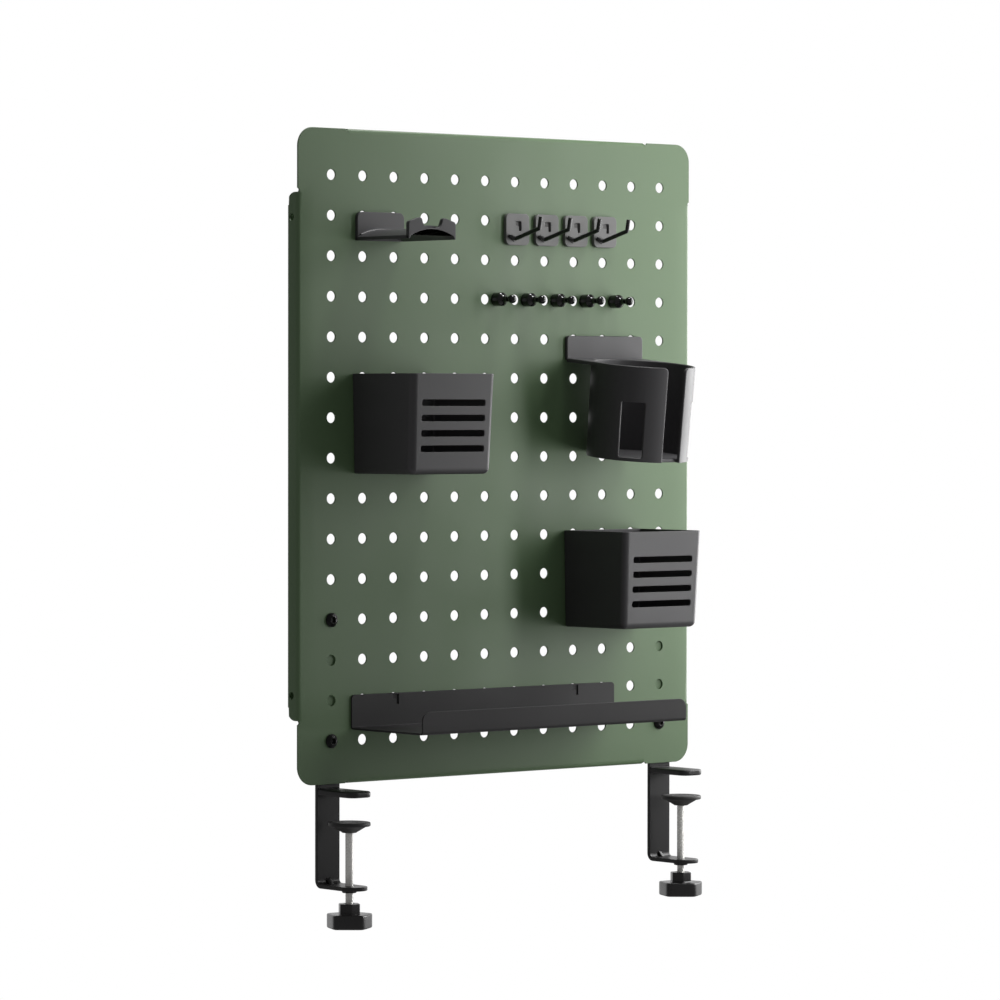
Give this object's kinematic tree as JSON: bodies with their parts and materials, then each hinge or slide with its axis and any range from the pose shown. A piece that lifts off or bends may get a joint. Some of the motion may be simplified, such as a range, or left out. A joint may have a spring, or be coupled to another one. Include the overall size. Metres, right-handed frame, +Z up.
{
  "type": "clamp-on pegboard desk organizer",
  "caption": "Perforated steel pegboard with two screw clamps for a desk edge, open bins, a cup holder, a pen tray, a headset hanger, wire hooks and magnet pins that lift or pull off.",
  "frame": {"origin": "on the desk top's plane, below the middle of the pegboard's width, where the desk's edge touches the front faces of the two clamp straps", "axes": "+X to the right as seen from the front, +Y to the back of the pegboard, +Z up"},
  "size_m": [0.393, 0.0993, 0.5918],
  "materials": {
    "green_powder_coat": "fine matt powder coat, olive to sage green",
    "black_powder_coat": "satin black powder coat",
    "zinc_steel": "bright zinc plate, threaded",
    "black_rubber": "matt, fine grain",
    "black_knob_plastic": "satin moulded plastic",
    "blackened_steel": "black oxide, slight sheen",
    "charcoal_plastic": "fine matt moulded plastic",
    "charcoal_powder_coat": "fine matt powder coat",
    "grey_powder_coat": "matt grey powder coat",
    "black_lacquer": "smooth black lacquer on steel wire",
    "black_gloss_plastic": "polished black",
    "nickel_plate": "nickel-plated magnet"
  },
  "bodies": {
    "frame": {"panel": "green_powder_coat", "left_stiffener": "green_powder_coat", "right_stiffener": "green_powder_coat", "left_clamp_strap": "black_powder_coat", "right_clamp_strap": "black_powder_coat", "left_upper_jaw": "black_powder_coat", "right_upper_jaw": "black_powder_coat", "left_screw_bush": "black_powder_coat", "right_screw_bush": "black_powder_coat", "board_bolts": "blackened_steel", "board_nuts": "blackened_steel"},
    "left_pad": {"left_clamp_pad": "black_rubber"},
    "left_screw": {"left_clamp_screw": "zinc_steel", "left_clamp_knob": "black_knob_plastic"},
    "right_pad": {"right_clamp_pad": "black_rubber"},
    "right_screw": {"right_clamp_screw": "zinc_steel", "right_clamp_knob": "black_knob_plastic"},
    "upper_bin": {"upper_bin": "charcoal_plastic"},
    "lower_bin": {"lower_bin": "charcoal_plastic"},
    "cup_holder": {"cup_holder": "charcoal_plastic"},
    "tray": {"tray": "charcoal_powder_coat"},
    "headset_hanger": {"headset_hanger": "charcoal_plastic"},
    "hook_1": {"hook_plate_1": "grey_powder_coat", "hook_wire_1": "black_lacquer"},
    "hook_2": {"hook_plate_2": "grey_powder_coat", "hook_wire_2": "black_lacquer"},
    "hook_3": {"hook_plate_3": "grey_powder_coat", "hook_wire_3": "black_lacquer"},
    "hook_4": {"hook_plate_4": "grey_powder_coat", "hook_wire_4": "black_lacquer"},
    "pin_1": {"pin_body_1": "black_gloss_plastic", "pin_magnet_1": "nickel_plate"},
    "pin_2": {"pin_body_2": "black_gloss_plastic", "pin_magnet_2": "nickel_plate"},
    "pin_3": {"pin_body_3": "black_gloss_plastic", "pin_magnet_3": "nickel_plate"},
    "pin_4": {"pin_body_4": "black_gloss_plastic", "pin_magnet_4": "nickel_plate"},
    "pin_5": {"pin_body_5": "black_gloss_plastic", "pin_magnet_5": "nickel_plate"}
  },
  "joints": [
    {"name": "left_pad_travel", "type": "slide", "parent": "frame", "child": "left_pad", "axis": [0, 0, 1], "range_m": [-0.0393, 0.0077]},
    {"name": "left_knob_turn", "type": "hinge", "parent": "left_pad", "child": "left_screw", "pos_m": [-0.165, -0.0245, -0.05], "axis": [0, 0, 1], "range_deg": [-14130, 2750]},
    {"name": "right_pad_travel", "type": "slide", "parent": "frame", "child": "right_pad", "axis": [0, 0, 1], "range_m": [-0.0417, 0.0053]},
    {"name": "right_knob_turn", "type": "hinge", "parent": "right_pad", "child": "right_screw", "pos_m": [0.169, -0.0245, -0.05], "axis": [0, 0, 1], "range_deg": [-14990, 1890]},
    {"name": "upper_bin_lift", "type": "slide", "parent": "frame", "child": "upper_bin", "axis": [0, 0, 1], "range_m": [0, 0.003]},
    {"name": "lower_bin_lift", "type": "slide", "parent": "frame", "child": "lower_bin", "axis": [0, 0, 1], "range_m": [0, 0.003]},
    {"name": "cup_holder_lift", "type": "slide", "parent": "frame", "child": "cup_holder", "axis": [0, 0, 1], "range_m": [0, 0.003]},
    {"name": "tray_lift", "type": "slide", "parent": "frame", "child": "tray", "axis": [0, 0, 1], "range_m": [0, 0.003]},
    {"name": "headset_hanger_lift", "type": "slide", "parent": "frame", "child": "headset_hanger", "axis": [0, 0, 1], "range_m": [0, 0.003]},
    {"name": "hook_1_lift", "type": "slide", "parent": "frame", "child": "hook_1", "axis": [0, 0, 1], "range_m": [0, 0.003]},
    {"name": "hook_2_lift", "type": "slide", "parent": "frame", "child": "hook_2", "axis": [0, 0, 1], "range_m": [0, 0.003]},
    {"name": "hook_3_lift", "type": "slide", "parent": "frame", "child": "hook_3", "axis": [0, 0, 1], "range_m": [0, 0.003]},
    {"name": "hook_4_lift", "type": "slide", "parent": "frame", "child": "hook_4", "axis": [0, 0, 1], "range_m": [0, 0.003]},
    {"name": "pin_1_pull", "type": "slide", "parent": "frame", "child": "pin_1", "axis": [0, -1, 0], "range_m": [0, 0.02]},
    {"name": "pin_2_pull", "type": "slide", "parent": "frame", "child": "pin_2", "axis": [0, -1, 0], "range_m": [0, 0.02]},
    {"name": "pin_3_pull", "type": "slide", "parent": "frame", "child": "pin_3", "axis": [0, -1, 0], "range_m": [0, 0.02]},
    {"name": "pin_4_pull", "type": "slide", "parent": "frame", "child": "pin_4", "axis": [0, -1, 0], "range_m": [0, 0.02]},
    {"name": "pin_5_pull", "type": "slide", "parent": "frame", "child": "pin_5", "axis": [0, -1, 0], "range_m": [0, 0.02]}
  ],
  "couplings": [
    {"joint": "left_pad_travel", "follows": "left_knob_turn", "m_per_rad": 0.00015915},
    {"joint": "right_pad_travel", "follows": "right_knob_turn", "m_per_rad": 0.00015915}
  ]
}
